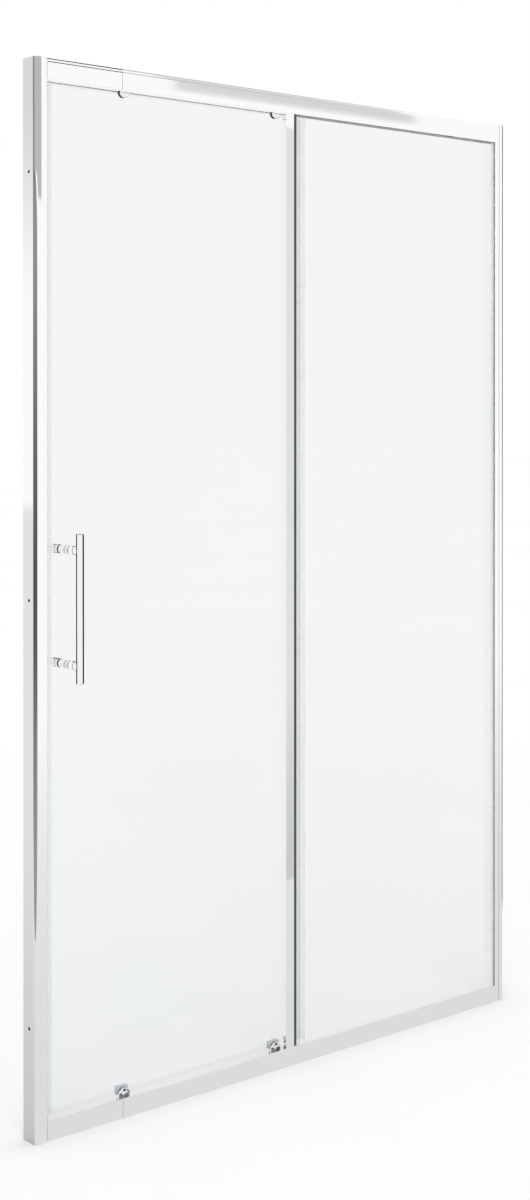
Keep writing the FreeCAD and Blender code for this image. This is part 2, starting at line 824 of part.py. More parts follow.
def save_guides():
    for side, x in rollers:
        save("guide_plate_" + side, guide_plate(x))
        save("guide_housing_" + side, guide_housing(x))
        save("guide_spring_" + side, guide_spring(x))
        save("guide_slider_" + side, guide_slider(x))
        save("release_button_" + side, release_button(x))
        save("bottom_axle_" + side, axle(x, bottom_axle_z, slider_front()))
        save("bottom_wheel_" + side, wheel_tyre(x, bottom_axle_z, bottom_wheel_radius))
        save("bottom_bearing_" + side, wheel_bearing(x, bottom_axle_z))
    save("guide_screws", group([screw for _, x in rollers for screw in guide_screws(x)]))


os.makedirs("parts", exist_ok=True)
save_frame()
save_fixed_pane()
save_door()
save_rollers()
save_guides()
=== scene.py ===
"""Looks of a recess shower enclosure: bright aluminium frame, fixed pane, sliding glass door."""

import json
from math import pi, radians

import bmesh
import bpy
from mathutils import Matrix, Vector

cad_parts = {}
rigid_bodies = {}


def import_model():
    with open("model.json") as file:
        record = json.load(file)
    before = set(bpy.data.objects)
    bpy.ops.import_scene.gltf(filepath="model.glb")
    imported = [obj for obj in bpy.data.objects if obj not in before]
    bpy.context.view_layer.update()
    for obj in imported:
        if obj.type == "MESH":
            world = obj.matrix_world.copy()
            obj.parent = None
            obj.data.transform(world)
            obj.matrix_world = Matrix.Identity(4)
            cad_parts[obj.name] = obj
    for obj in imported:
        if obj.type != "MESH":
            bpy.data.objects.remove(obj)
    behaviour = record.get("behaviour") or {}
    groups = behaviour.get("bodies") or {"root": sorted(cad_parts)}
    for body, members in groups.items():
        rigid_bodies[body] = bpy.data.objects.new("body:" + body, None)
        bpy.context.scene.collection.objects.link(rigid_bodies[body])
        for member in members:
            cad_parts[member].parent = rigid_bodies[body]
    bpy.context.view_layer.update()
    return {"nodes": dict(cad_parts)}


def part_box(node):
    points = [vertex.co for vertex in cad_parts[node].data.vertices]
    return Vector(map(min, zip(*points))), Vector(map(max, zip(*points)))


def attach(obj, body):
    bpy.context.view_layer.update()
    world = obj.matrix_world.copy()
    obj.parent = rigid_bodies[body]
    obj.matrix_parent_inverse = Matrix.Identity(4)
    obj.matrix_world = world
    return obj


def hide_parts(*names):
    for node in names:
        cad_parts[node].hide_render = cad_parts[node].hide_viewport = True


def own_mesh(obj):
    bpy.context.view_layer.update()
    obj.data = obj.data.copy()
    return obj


bl_info = {
    "name": "Sliding shower enclosure",
    "version": (1, 0, 0),
    "blender": (4, 5, 0),
    "location": "3D View > Sidebar > Shower",
    "description": "Finishes and fine pieces of a framed shower enclosure with a sliding door",
    "category": "Object",
}

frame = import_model()
NODES = frame["nodes"]
MM = 0.001
SIDES = ("left", "right")
UP = Vector((0, 0, 1))
GLASS_IOR = 1.52


# --- colours and shader nodes ---

def linear(hex_colour, alpha=1.0):
    """An sRGB hex colour as the linear values that Blender's sockets take."""
    parts = [int(hex_colour[i:i + 2], 16) / 255 for i in (1, 3, 5)]
    return [c / 12.92 if c <= 0.04045 else ((c + 0.055) / 1.055) ** 2.4 for c in parts] + [alpha]


def add(tree, kind, inputs=None, **settings):
    """Adds a shader node: settings by name, inputs by socket name or number,
    each input a value or another node's socket."""
    node = tree.nodes.new(kind)
    for name, value in settings.items():
        setattr(node, name, value)
    for name, value in (inputs or {}).items():
        if isinstance(value, bpy.types.NodeSocket):
            tree.links.new(value, node.inputs[name])
        else:
            node.inputs[name].default_value = value
    return node


def new_material(name):
    """A node material with its tree, its Object coordinates in metres and its Principled shader,
    which is on the output."""
    material = bpy.data.materials.new(name)
    material.use_nodes = True
    tree = material.node_tree
    tree.nodes.clear()
    place = add(tree, "ShaderNodeTexCoord").outputs["Object"]
    shader = add(tree, "ShaderNodeBsdfPrincipled")
    add(tree, "ShaderNodeOutputMaterial", {"Surface": shader.outputs["BSDF"]})
    return material, tree, place, shader


def fill(shader, tree, **inputs):
    """Sets or links Principled inputs, named with _ for a blank."""
    for name, value in inputs.items():
        socket = shader.inputs[name.replace("_", " ")]
        if isinstance(value, bpy.types.NodeSocket):
            tree.links.new(value, socket)
        else:
            socket.default_value = value


def mottled(tree, place, size, low, high, stretch=(1, 1, 1), detail=4.0):
    """Soft noise whose patches are size metres across, mapped to the range low..high."""
    scaled = add(tree, "ShaderNodeMapping", {"Vector": place, "Scale": stretch}).outputs["Vector"]
    noise = add(tree, "ShaderNodeTexNoise", {"Vector": scaled, "Scale": 1 / size, "Detail": detail})
    span = {"Value": noise.outputs["Fac"], "From Min": 0.3, "From Max": 0.7,
            "To Min": low, "To Max": high}
    return add(tree, "ShaderNodeMapRange", span).outputs["Result"]


def bumped(tree, height, distance, strength=1.0):
    settings = {"Height": height, "Distance": distance, "Strength": strength}
    return add(tree, "ShaderNodeBump", settings).outputs["Normal"]


def tinted(tree, amount, first, second):
    """A colour between two linear colours."""
    return add(tree, "ShaderNodeMix", {0: amount, 6: first, 7: second}, data_type="RGBA").outputs[2]


def ranged(tree, value, low, high):
    """A pattern of 0 to 1 spread over low..high."""
    span = {"Value": value, "To Min": low, "To Max": high}
    return add(tree, "ShaderNodeMapRange", span).outputs["Result"]


def times(tree, value, factor):
    return add(tree, "ShaderNodeMath", {0: value, 1: factor}, operation="MULTIPLY").outputs["Value"]


def larger(tree, first, second):
    return add(tree, "ShaderNodeMath", {0: first, 1: second}, operation="MAXIMUM").outputs["Value"]


# --- what a user would change ---

class EnclosureLooks(bpy.types.PropertyGroup):
    """Colours and small sizes of the enclosure's finishes."""

    aluminium: bpy.props.FloatVectorProperty(
        name="Aluminium", description="Bright anodised frame profiles", subtype="COLOR", size=4,
        min=0.0, max=1.0, default=linear("#FBFBFB"))
    chrome: bpy.props.FloatVectorProperty(
        name="Chrome", description="Handle, roller caps and guide plates", subtype="COLOR", size=4,
        min=0.0, max=1.0, default=linear("#F4F5F6"))
    glass: bpy.props.FloatVectorProperty(
        name="Glass", description="Tint of the clear panes", subtype="COLOR", size=4,
        min=0.0, max=1.0, default=linear("#F3F5F6"))
    # this dark rubber also paints the shade on the fittings' collars and in the handle's ring
    # grooves
    rubber: bpy.props.FloatVectorProperty(
        name="Rubber", description="Dark gasket beside the post, stops, collars and rings",
        subtype="COLOR", size=4, min=0.0, max=1.0, default=linear("#3A3B3D"))
    edge_round: bpy.props.FloatProperty(
        name="Edge rounding", description="Radius of the broken edges of the profiles",
        default=0.5 * MM, min=0.0, max=2 * MM, unit="LENGTH", precision=5)
    brow_round: bpy.props.FloatProperty(
        name="Brow rounding", description="Radius of the rails' upper front edge",
        default=3.0 * MM, min=0.0, max=4 * MM, unit="LENGTH", precision=5)
    glass_arris: bpy.props.FloatProperty(
        name="Glass arris", description="Ground edge of the panes",
        default=0.6 * MM, min=0.1 * MM, max=1.5 * MM, unit="LENGTH", precision=5)
    spring_wire: bpy.props.FloatProperty(
        name="Spring wire", description="Wire thickness of the guide springs",
        default=0.6 * MM, min=0.3 * MM, max=0.9 * MM, unit="LENGTH", precision=5)
    spring_turns: bpy.props.IntProperty(
        name="Spring turns", description="Working turns of the guide springs",
        default=7, min=4, max=12)


def looks():
    return bpy.context.scene.enclosure_looks


# --- finishes: metals ---

def bright_anodised_aluminium(name, along):
    """Extruded, polished and bright anodised: near a mirror, with fine die lines along the length
    and a slow change of gloss, so long faces show soft streaks and never a flat tone."""
    material, tree, place, shader = new_material(name)
    drawn_out = [0.01 if axis == along else 1.0 for axis in "xyz"]
    drawn_a_little = [0.25 if axis == along else 1.0 for axis in "xyz"]
    die_lines = mottled(tree, place, 0.8 * MM, 0.0, 1.0, drawn_out, detail=6.0)
    clouds = mottled(tree, place, 90 * MM, 0.0, 1.0, drawn_a_little)
    base = Vector(looks().aluminium)
    dull = base * 0.93
    dull[3] = 1.0
    streaked = tinted(tree, times(tree, die_lines, 0.4), base, dull)
    gloss = ranged(tree, clouds, 0.035, 0.06)
    fill(shader, tree, Base_Color=streaked, Metallic=1.0, Roughness=gloss,
         Normal=bumped(tree, die_lines, 0.005 * MM, 0.2))
    return material


def mill_finish_aluminium():
    """Extruded aluminium as the die left it, inside the rails: dull and pale, with drag lines."""
    material, tree, place, shader = new_material("aluminium_mill_finish_extruded")
    drag = mottled(tree, place, 1.0 * MM, 0.0, 1.0, (0.01, 1, 1), detail=5.0)
    tone = tinted(tree, drag, linear("#F4F5F5"), linear("#E6E7E8"))
    fill(shader, tree, Base_Color=tone, Metallic=0.35, Roughness=0.5,
         Normal=bumped(tree, drag, 0.01 * MM, 0.4))
    return material


def chrome_plate():
    """Polished brass under chrome: a near mirror with hairline wiping marks."""
    material, tree, place, shader = new_material("chrome_plate_polished")
    marks = mottled(tree, place, 0.5 * MM, 0.0, 1.0, (1, 1, 0.05), detail=3.0)
    haze = mottled(tree, place, 12 * MM, 0.03, 0.09)
    tone = tinted(tree, times(tree, marks, 0.3), Vector(looks().chrome), linear("#E4E6E9"))
    fill(shader, tree, Base_Color=tone, Metallic=1.0, Roughness=haze,
         Normal=bumped(tree, marks, 0.003 * MM, 0.2))
    return material


def stainless_steel():
    """Pressed stainless sheet and turned pins: brushed, a shade darker than the aluminium."""
    material, tree, place, shader = new_material("stainless_steel_brushed")
    brush = mottled(tree, place, 0.4 * MM, 0.0, 1.0, (1, 1, 0.03), detail=5.0)
    tone = tinted(tree, brush, linear("#C9CACB"), linear("#AFB1B3"))
    gloss = ranged(tree, brush, 0.24, 0.4)
    fill(shader, tree, Base_Color=tone, Metallic=1.0, Roughness=gloss,
         Normal=bumped(tree, brush, 0.01 * MM, 0.4))
    return material


def spring_steel():
    """Drawn and zinc plated wire: slightly blue, with drawing lines."""
    material, tree, place, shader = new_material("spring_steel_zinc_plated")
    lines = mottled(tree, place, 0.2 * MM, 0.0, 1.0)
    tone = tinted(tree, lines, linear("#BFC3C8"), linear("#969BA1"))
    fill(shader, tree, Base_Color=tone, Metallic=1.0, Roughness=0.28,
         Normal=bumped(tree, lines, 0.01 * MM, 0.3))
    return material


# --- finishes: glass, rubber and plastics ---

def clear_glass():
    """Toughened float glass: colourless through its faces, with faint rosy clouds of strain."""
    material, tree, place, shader = new_material("toughened_glass_clear")
    strain = mottled(tree, place, 600 * MM, 0.0, 1.0, (1, 1, 0.8), detail=1.0)
    base = Vector(looks().glass)
    rosy = linear("#F5F3F5")
    fill(shader, tree, Base_Color=tinted(tree, strain, base, rosy), Roughness=0.0, IOR=GLASS_IOR,
         Transmission_Weight=1.0)
    let_light_through(tree, shader, "#FBFCFC")
    return material


def glass_edge():
    """The ground and polished edge of a pane, faintly green where light comes through sideways."""
    material, tree, place, shader = new_material("glass_edge_polished")
    grinding = mottled(tree, place, 2 * MM, 0.12, 0.3, (1, 1, 0.2))
    patches = mottled(tree, place, 30 * MM, 0.0, 1.0)
    tone = tinted(tree, patches, linear("#E9F2EE"), linear("#DCE9E4"))
    fill(shader, tree, Base_Color=tone, Roughness=grinding, IOR=GLASS_IOR, Transmission_Weight=0.7)
    let_light_through(tree, shader, "#F4F8F6", 0.75)
    return material


def let_light_through(tree, shader, hex_colour, clearness=0.0):
    """Lamps and bounced light pass straight, as they do through thin glass.
    The clearness is the share of all light that passes without being bent."""
    rays = add(tree, "ShaderNodeLightPath").outputs
    soft = larger(tree, rays["Is Shadow Ray"], rays["Is Diffuse Ray"])
    straight = larger(tree, soft, clearness)
    clear = add(tree, "ShaderNodeBsdfTransparent", {"Color": linear(hex_colour)}).outputs["BSDF"]
    mixed = {0: straight, 1: shader.outputs["BSDF"], 2: clear}
    mix = add(tree, "ShaderNodeMixShader", mixed).outputs["Shader"]
    tree.links.new(mix, tree.nodes["Material Output"].inputs["Surface"])


def black_rubber():
    """Extruded EPDM gasket: matt near black, with the faint bloom and pores of rubber."""
    material, tree, place, shader = new_material("epdm_rubber_extruded")
    pores = mottled(tree, place, 0.6 * MM, 0.0, 1.0, (1, 1, 0.2), detail=5.0)
    bloom = mottled(tree, place, 25 * MM, 0.0, 0.5, (1, 1, 0.3))
    tone = tinted(tree, bloom, Vector(looks().rubber), linear("#545557"))
    fill(shader, tree, Base_Color=tone, Roughness=0.62, IOR=1.52,
         Normal=bumped(tree, pores, 0.03 * MM, 0.5))
    return material


def soft_clear_pvc():
    """Extruded soft PVC seal: milky clear, with flow lines along its length."""
    material, tree, place, shader = new_material("soft_pvc_clear_extruded")
    flow = mottled(tree, place, 1.2 * MM, 0.0, 1.0, (1, 1, 0.02), detail=4.0)
    tone = tinted(tree, flow, linear("#FAFBFB"), linear("#F0F3F3"))
    fill(shader, tree, Base_Color=tone, Roughness=0.2, IOR=1.4, Transmission_Weight=0.8,
         Normal=bumped(tree, flow, 0.01 * MM, 0.3))
    let_light_through(tree, shader, "#FCFDFD", 0.85)
    return material


def moulded_plastic(name, first, second, grain, roughness, clearness=0.0):
    """An injection moulding: a fine spark-eroded skin that breaks the highlights, and flow marks.
    With some clearness it is a pale, half see-through grade."""
    material, tree, place, shader = new_material(name)
    skin = mottled(tree, place, grain, 0.0, 1.0, (1, 1, 1), detail=5.0)
    flow = mottled(tree, place, 9 * MM, 0.0, 1.0)
    fill(shader, tree, Base_Color=tinted(tree, flow, linear(first), linear(second)),
         Roughness=roughness, IOR=1.5, Normal=bumped(tree, skin, 0.02 * MM, 0.5))
    if clearness:
        let_light_through(tree, shader, "#F4F5F6", clearness)
    return material


# --- pieces ---

MERGED_WITHIN = 0.002 * MM      # corners of the CAD meshes' loose triangles
FLAT_WITHIN = radians(0.5)      # triangles of one flat face
CORNER = radians(30)            # edges that get rounded
SHADED_SHARP = radians(35)      # edges that stay sharp in shading
MIRROR_SHARP = radians(2)       # the same between two broad flat faces
BROAD = 3 * MM
ON_FACE = 0.01 * MM
# the least length of an edge that is rounded
ANY_EDGE = 0.05 * MM
CLEAR_EDGE = 3 * MM
LONG_EDGE = 100 * MM


def coat(node, material):
    """Gives a CAD node its finish."""
    slots = NODES[node].data.materials
    slots.clear()
    slots.append(material)


def breadth(triangle):
    """Its height over its longest side."""
    return 2 * triangle.calc_area() / max(e.calc_length() for e in triangle.edges)


def is_crease(edge):
    """A sharp edge, or a faint one between two broad flat faces, which a mirror finish shows."""
    angle = edge.calc_face_angle()
    broad = all(breadth(f) > BROAD for f in edge.link_faces)
    return angle > SHADED_SHARP or (broad and angle > MIRROR_SHARP)


def piece(name, bm, body, materials, stands_for=()):
    """Turns a bmesh into an object that rides on a body and stands for CAD nodes."""
    bmesh.ops.triangulate(bm, faces=bm.faces)
    for face in bm.faces:
        face.smooth = True
    for edge in bm.edges:
        edge.smooth = edge.is_manifold and not is_crease(edge)
    mesh = bpy.data.meshes.new(name)
    bm.to_mesh(mesh)
    bm.free()
    for material in materials:
        mesh.materials.append(material)
    obj = bpy.data.objects.new(name, mesh)
    bpy.context.scene.collection.objects.link(obj)
    even = obj.modifiers.new("even_normals", "WEIGHTED_NORMAL")
    even.keep_sharp = True
    even.weight = 100               # broad faces alone set the normals
    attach(obj, body)
    if stands_for:
        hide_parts(*stands_for)
    return obj


def merged_copy(node):
    """The node's mesh as one closed surface, its flat faces whole again."""
    bm = bmesh.new()
    bm.from_mesh(NODES[node].data)
    bmesh.ops.remove_doubles(bm, verts=bm.verts, dist=MERGED_WITHIN)
    bmesh.ops.dissolve_limit(bm, angle_limit=FLAT_WITHIN, verts=bm.verts, edges=bm.edges)
    return bm


def round_edges(bm, edges, radius, segments=2, clamp=True):
    bmesh.ops.bevel(bm, geom=edges, offset=radius, offset_type="OFFSET", segments=segments,
                    affect="EDGES", profile=0.5, material=-1, clamp_overlap=clamp)


def sharp_edges(bm, least):
    """Closed corner edges longer than the least length."""
    return [e for e in bm.edges
            if e.is_manifold and e.calc_face_angle() > CORNER and e.calc_length() > least]


def rounded(node, radius, body, material, least=CLEAR_EDGE, clamp=True):
    """A CAD piece with its corner edges rounded."""
    bm = merged_copy(node)
    round_edges(bm, sharp_edges(bm, least), radius, clamp=clamp)
    return piece(node + "_rounded", bm, body, [material], [node])


def front_rounded(node, radius, body, material):
    """Only the front face's edges are rounded: behind it the spigot leaves too narrow a rim."""
    low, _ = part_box(node)
    bm = merged_copy(node)
    edges = [e for e in sharp_edges(bm, ANY_EDGE) if all(v.co.y < low.y + ON_FACE for v in e.verts)]
    round_edges(bm, edges, radius)
    return piece(node + "_rounded", bm, body, [material], [node])


def rail(node, outside, inside, brow):
    """A rail with a broader round on its upper front edge and small ones on the rest.
    The faces inside its hollow have their own finish."""
    front_wall, skin = 2.2 * MM, 0.6 * MM
    low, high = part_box(node)
    bm = merged_copy(node)
    along = sharp_edges(bm, LONG_EDGE)
    top_front = max(e.verts[0].co.z - e.verts[0].co.y for e in along)
    edges = [e for e in along if all(v.co.z - v.co.y > top_front - ON_FACE for v in e.verts)]
    round_edges(bm, edges, brow, segments=4, clamp=False)
    round_edges(bm, sharp_edges(bm, LONG_EDGE), looks().edge_round, clamp=False)
    for face in bm.faces:
        middle = face.calc_center_median()
        hollow = (low.y + front_wall < middle.y < high.y - skin
                  and low.z + skin < middle.z < high.z - skin)
        is_end = abs(face.normal.x) >= 0.5
        face.material_index = int(hollow and not is_end)
    piece(node + "_rounded", bm, "frame", [outside, inside], [node])


class SHOWER_OT_frame_profiles(bpy.types.Operator):
    """Wall channels, jambs and rails, with the die's small edge radii"""
    bl_idname = "shower.frame_profiles"
    bl_label = "Frame profiles"

    def execute(self, context):
        upright = bright_anodised_aluminium("aluminium_bright_anodised_upright", "z")
        level = bright_anodised_aluminium("aluminium_bright_anodised_level", "x")
        inside = mill_finish_aluminium()
        for side in SIDES:
            for part in ("wall_channel_", "jamb_"):
                rounded(part + side, looks().edge_round, "frame", upright)
        for end in ("", "_end_piece"):
            rail("top_rail" + end, level, inside, looks().brow_round)
            rail("bottom_rail" + end, level, inside, looks().edge_round * 2)
        rounded("top_groove_cover", looks().edge_round, "frame", level,
                LONG_EDGE, clamp=False)
        for node in ("top_rail_joiner", "bottom_rail_joiner"):
            coat(node, level)
        rounded("post_profile", looks().edge_round, "frame", upright)
        return {"FINISHED"}


class SHOWER_OT_glass_panes(bpy.types.Operator):
    """Fixed pane and door pane, their edges ground to a small arris"""
    bl_idname = "shower.glass_panes"
    bl_label = "Glass panes"

    def execute(self, context):
        finishes = [clear_glass(), glass_edge()]
        for node, body in (("fixed_glass", "frame"), ("door_glass", "door")):
            bm = merged_copy(node)
            round_edges(bm, sharp_edges(bm, 20 * MM), looks().glass_arris, segments=1)
            for face in bm.faces:
                is_pane = abs(face.normal.y) > 0.98
                face.material_index = 0 if is_pane else 1
            piece(node + "_arrised", bm, body, finishes, [node])
        return {"FINISHED"}


class SHOWER_OT_gaskets(bpy.types.Operator):
    """Glazing gaskets of the fixed pane, the dark post gasket and the door stops"""
    bl_idname = "shower.gaskets"
    bl_label = "Gaskets and stops"

    def execute(self, context):
        rubber = black_rubber()
        pvc = soft_clear_pvc()
        for node in ("fixed_gasket_top", "fixed_gasket_bottom", "fixed_gasket_side"):
            rounded(node, 0.5 * MM, "frame", pvc, 2 * MM)
        rounded("post_gasket", 0.3 * MM, "frame", rubber, 1 * MM)
        rounded("door_stops", 1.5 * MM, "frame", rubber)
        return {"FINISHED"}


class SHOWER_OT_door_seals(bpy.types.Operator):
    """Closing seal, its counter strip on the jamb and the wiping seal behind the fixed pane"""
    bl_idname = "shower.door_seals"
    bl_label = "Door seals"

    def execute(self, context):
        pvc = soft_clear_pvc()
        rounded("closing_seal", 0.8 * MM, "door", pvc, 5 * MM)
        rounded("overlap_seal", 0.4 * MM, "door", pvc, 1 * MM)
        rounded("jamb_seal", 1.2 * MM, "frame", pvc)
        return {"FINISHED"}


def shade_collar(node, rubber, thick):
    """A black rubber collar at the back end of a metal fitting, a little proud of the fitting. It
    is painted shade: it stands for the dark, shaded side wall of the fitting, and thick sets the
    width of that dark band.
    """
    proud = 0.25 * MM
    bm = merged_copy(node)
    low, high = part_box(node)
    centre = (low + high) / 2
    cut = Vector((0, high.y - thick, 0))
    bmesh.ops.bisect_plane(bm, geom=bm.verts[:] + bm.edges[:] + bm.faces[:], plane_co=cut,
                           plane_no=(0, 1, 0), clear_inner=True)
    bmesh.ops.holes_fill(bm, edges=[e for e in bm.edges if e.is_boundary])
    spread = Vector((1 + proud / (high.x - low.x) * 2, 1, 1 + proud / (high.z - low.z) * 2))
    bmesh.ops.scale(bm, vec=spread, space=Matrix.Translation(-centre), verts=bm.verts)
    bmesh.ops.recalc_face_normals(bm, faces=bm.faces)
    piece(node + "_pad", bm, "door", [rubber])


def shade_ringed(node, chrome, rubber):
    """Turned chrome pieces, one above the other, with black rubber on the faces of their grooves:
    painted shade, where the grooves lie in shadow.
    """
    groove_depth, end_margin = 1.0 * MM, 1.0 * MM
    bm = merged_copy(node)
    round_edges(bm, sharp_edges(bm, ANY_EDGE), 0.15 * MM)
    low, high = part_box(node)
    radius = (high.x - low.x) / 2
    for face in bm.faces:
        middle = face.calc_center_median()
        axis_z = low.z + radius if middle.z < (low.z + high.z) / 2 else high.z - radius
        away = max(Vector((v.co.x - low.x - radius, v.co.z - axis_z)).length for v in face.verts)
        in_shaded_groove = 0.8 * radius < away < radius - groove_depth
        is_turned = abs(face.normal.y) < 0.5
        is_between = low.y + end_margin < middle.y < high.y - end_margin
        # faces sunk in a groove take the black rubber: painted shade in the groove
        face.material_index = int(in_shaded_groove and is_turned and is_between)
    piece(node + "_rounded", bm, "door", [chrome, rubber], [node])


class SHOWER_OT_handle(bpy.types.Operator):
    """Bar handle with its standoffs, glass washers and inner knobs"""
    bl_idname = "shower.handle"
    bl_label = "Handle"

    def execute(self, context):
        chrome = chrome_plate()
        rubber = black_rubber()
        rounded("handle_bar", 0.3 * MM, "door", chrome, ANY_EDGE)
        for node in ("handle_standoffs", "handle_inner_knobs"):
            # their grooves get painted shade as black rings
            shade_ringed(node, chrome, rubber)
        coat("handle_washers", rubber)
        coat("handle_sleeves", soft_clear_pvc())
        coat("handle_studs", stainless_steel())
        return {"FINISHED"}


class SHOWER_OT_top_rollers(bpy.types.Operator):
    """Rollers that carry the door: caps in front of the glass, carriers and wheels behind it"""
    bl_idname = "shower.top_rollers"
    bl_label = "Top rollers"

    def execute(self, context):
        chrome = chrome_plate()
        steel = stainless_steel()
        nylon = moulded_plastic("nylon_white_moulded", "#EDEDE9", "#E2E2DC", 0.5 * MM, 0.42)
        rubber = black_rubber()
        for side in SIDES:
            rounded("top_roller_cap_" + side, 0.4 * MM, "door", chrome, ANY_EDGE)
            # the black collar is painted shade on the side wall of the cap
            shade_collar("top_roller_cap_" + side, rubber, 2.4 * MM)
            coat("top_roller_carrier_" + side, steel)
            for level in ("top", "bottom"):
                coat(level + "_wheel_" + side, nylon)
                coat(level + "_bearing_" + side, steel)
            coat("bottom_axle_" + side, steel)
        for node in ("top_roller_bolts", "top_axles"):
            coat(node, steel)
        coat("top_roller_bushes", soft_clear_pvc())
        return {"FINISHED"}


def coil_spring(node):
    """A wound wire between the slider's seat and the housing's roof, its end turns lying flat."""
    low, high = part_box(node)
    centre = (low + high) / 2
    wire = looks().spring_wire
    radius = (high.x - low.x) / 2 - wire / 2
    turns = looks().spring_turns
    steps_per_turn = 24
    bm = bmesh.new()
    start = Vector((centre.x + radius, centre.y, low.z + wire / 2))
    turn = Matrix.Translation(start) @ Matrix.Rotation(pi / 2, 4, "X")
    section = bmesh.ops.create_circle(bm, cap_ends=True, radius=wire / 2, segments=10,
                                      matrix=turn)["verts"]
    rise = (high.z - low.z - 2 * wire) / turns
    geometry = section + list({e for v in section for e in v.link_edges}) + list(bm.faces)
    for pitch, count in ((wire / 2, 1), (rise, turns - 1), (wire / 2, 1)):
        geometry = bmesh.ops.spin(bm, geom=geometry, cent=centre, axis=UP,
                                  dvec=UP * pitch / steps_per_turn, angle=2 * pi * count,
                                  steps=steps_per_turn * count, use_merge=False)["geom_last"]
    bmesh.ops.remove_doubles(bm, verts=bm.verts, dist=0.001 * MM)
    bmesh.ops.recalc_face_normals(bm, faces=bm.faces)
    return bm


class SHOWER_OT_bottom_guides(bpy.types.Operator):
    """Sprung guides at the foot of the door, with their release buttons"""
    bl_idname = "shower.bottom_guides"
    bl_label = "Bottom guides"

    def execute(self, context):
        chrome = chrome_plate()
        steel = stainless_steel()
        wire = spring_steel()
        grey = moulded_plastic("abs_grey_moulded", "#DCDEDF", "#D2D4D6", 0.4 * MM, 0.48, 0.45)
        rubber = black_rubber()
        for side in SIDES:
            front_rounded("guide_plate_" + side, 0.4 * MM, "door", chrome)
            # the black collar is painted shade on the side of the guide plate
            shade_collar("guide_plate_" + side, rubber, 3.4 * MM)
            rounded("release_button_" + side, 0.3 * MM, "guide_" + side, chrome, ANY_EDGE)
            coat("guide_housing_" + side, grey)
            coat("guide_slider_" + side, steel)
            node = "guide_spring_" + side
            spring = piece(node + "_wound", coil_spring(node), "door", [wire], [node])
            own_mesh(spring)
        coat("guide_screws", steel)
        return {"FINISHED"}


class SHOWER_OT_frame_screws(bpy.types.Operator):
    """Screws that hold the frame together, and their caps"""
    bl_idname = "shower.frame_screws"
    bl_label = "Frame screws"

    def execute(self, context):
        steel = stainless_steel()
        for node in ("joiner_screws", "corner_screws", "jamb_screws"):
            coat(node, steel)
        grey = moulded_plastic("polypropylene_grey_moulded", "#B9BBBD", "#AEB1B3", 0.4 * MM, 0.4)
        coat("screw_caps", grey)
        return {"FINISHED"}


# --- stage ---

DAYLIGHT = 0.86                 # pale surfaces stay just below white
FLOOR_SIDE = 80.0               # metres, so that no view sees its end
WHITE = ("#FFFFFF", "#FFFFFF")
DARK = ("#1C1D1E", "#1C1D1E")
LYING = (0.0, 0.0, 0.0)
FACING_Y = (pi / 2, 0.0, 0.0)
FACING_X = (pi / 2, 0.0, pi / 2)
EVEN = (0.0, 1.0)


def studio_world():
    """Even daylight. Behind the object and in its reflections the background is plain white."""
    world = bpy.data.worlds.new("studio")
    world.use_nodes = True
    tree = world.node_tree
    tree.nodes.clear()
    paper = linear("#FFFFFF")
    light = add(tree, "ShaderNodeBackground", {"Color": paper, "Strength": DAYLIGHT}).outputs[0]
    white = add(tree, "ShaderNodeBackground", {"Color": paper, "Strength": 1.0}).outputs[0]
    shown = background_rays(tree)
    mix = add(tree, "ShaderNodeMixShader", {0: shown, 1: light, 2: white}).outputs[0]
    add(tree, "ShaderNodeOutputWorld", {"Surface": mix})
    bpy.context.scene.world = world


def background_rays(tree):
    """One for rays that show the background: from the camera, off metal and through glass."""
    rays = add(tree, "ShaderNodeLightPath").outputs
    seen = larger(tree, rays["Is Camera Ray"], rays["Is Glossy Ray"])
    return larger(tree, seen, rays["Is Transmission Ray"])


def stage_panel(name, material, width, height, place, turn=LYING):
    """A flat panel of the stage, lying in its own XY plane before it is turned and placed."""
    bm = bmesh.new()
    bmesh.ops.create_grid(bm, x_segments=1, y_segments=1, size=0.5,
                          matrix=Matrix.Diagonal((width, height, 1, 1)))
    mesh = bpy.data.meshes.new(name)
    bm.to_mesh(mesh)
    bm.free()
    mesh.materials.append(material)
    panel = bpy.data.objects.new(name, mesh)
    bpy.context.scene.collection.objects.link(panel)
    panel.location = place
    panel.rotation_euler = turn
    return panel


def studio_floor():
    """White painted floor that keeps only the object's soft shadow."""
    material, tree, place, shader = new_material("floor_white_paint_matt")
    tone = tinted(tree, mottled(tree, place, 1.5, 0.0, 1.0), linear("#FDFDFD"), linear("#FFFFFF"))
    fill(shader, tree, Base_Color=tone, Roughness=0.9, Specular_IOR_Level=0.0)
    stage_panel("floor", material, FLOOR_SIDE, FLOOR_SIDE, (0.0, 0.0, 0.0))


def reflection_card(name, place, turn, size, tones, fade=EVEN, veil=(0.0, 0.0)):
    """A card of the studio that is seen only in gloss, where it draws the edges of bright metal.
    Its tone, and the share of white that shows through it, run from their first to their second
    value, between the two shares of its height that fade gives."""
    width, height = size
    material = bpy.data.materials.new(name)
    material.use_nodes = True
    material.cycles.emission_sampling = "NONE"
    tree = material.node_tree
    tree.nodes.clear()
    place_on = add(tree, "ShaderNodeTexCoord").outputs["Object"]
    along = add(tree, "ShaderNodeSeparateXYZ", {"Vector": place_on}).outputs["Y"]
    start, end = ((edge - 0.5) * height for edge in fade)
    span = {"Value": along, "From Min": start, "From Max": end}
    share = add(tree, "ShaderNodeMapRange", span, interpolation_type="SMOOTHSTEP").outputs["Result"]
    tone = tinted(tree, share, linear(tones[0]), linear(tones[1]))
    glow = add(tree, "ShaderNodeEmission", {"Color": tone, "Strength": 1.0}).outputs[0]
    clear = add(tree, "ShaderNodeBsdfTransparent").outputs[0]
    thin = ranged(tree, share, veil[0], veil[1])
    mix = add(tree, "ShaderNodeMixShader", {0: thin, 1: glow, 2: clear}).outputs[0]
    add(tree, "ShaderNodeOutputMaterial", {"Surface": mix})
    card = stage_panel(name, material, width, height, place, turn)
    card.visible_camera = False
    card.visible_diffuse = False
    card.visible_transmission = False
    card.visible_volume_scatter = False
    card.visible_shadow = False
    return card


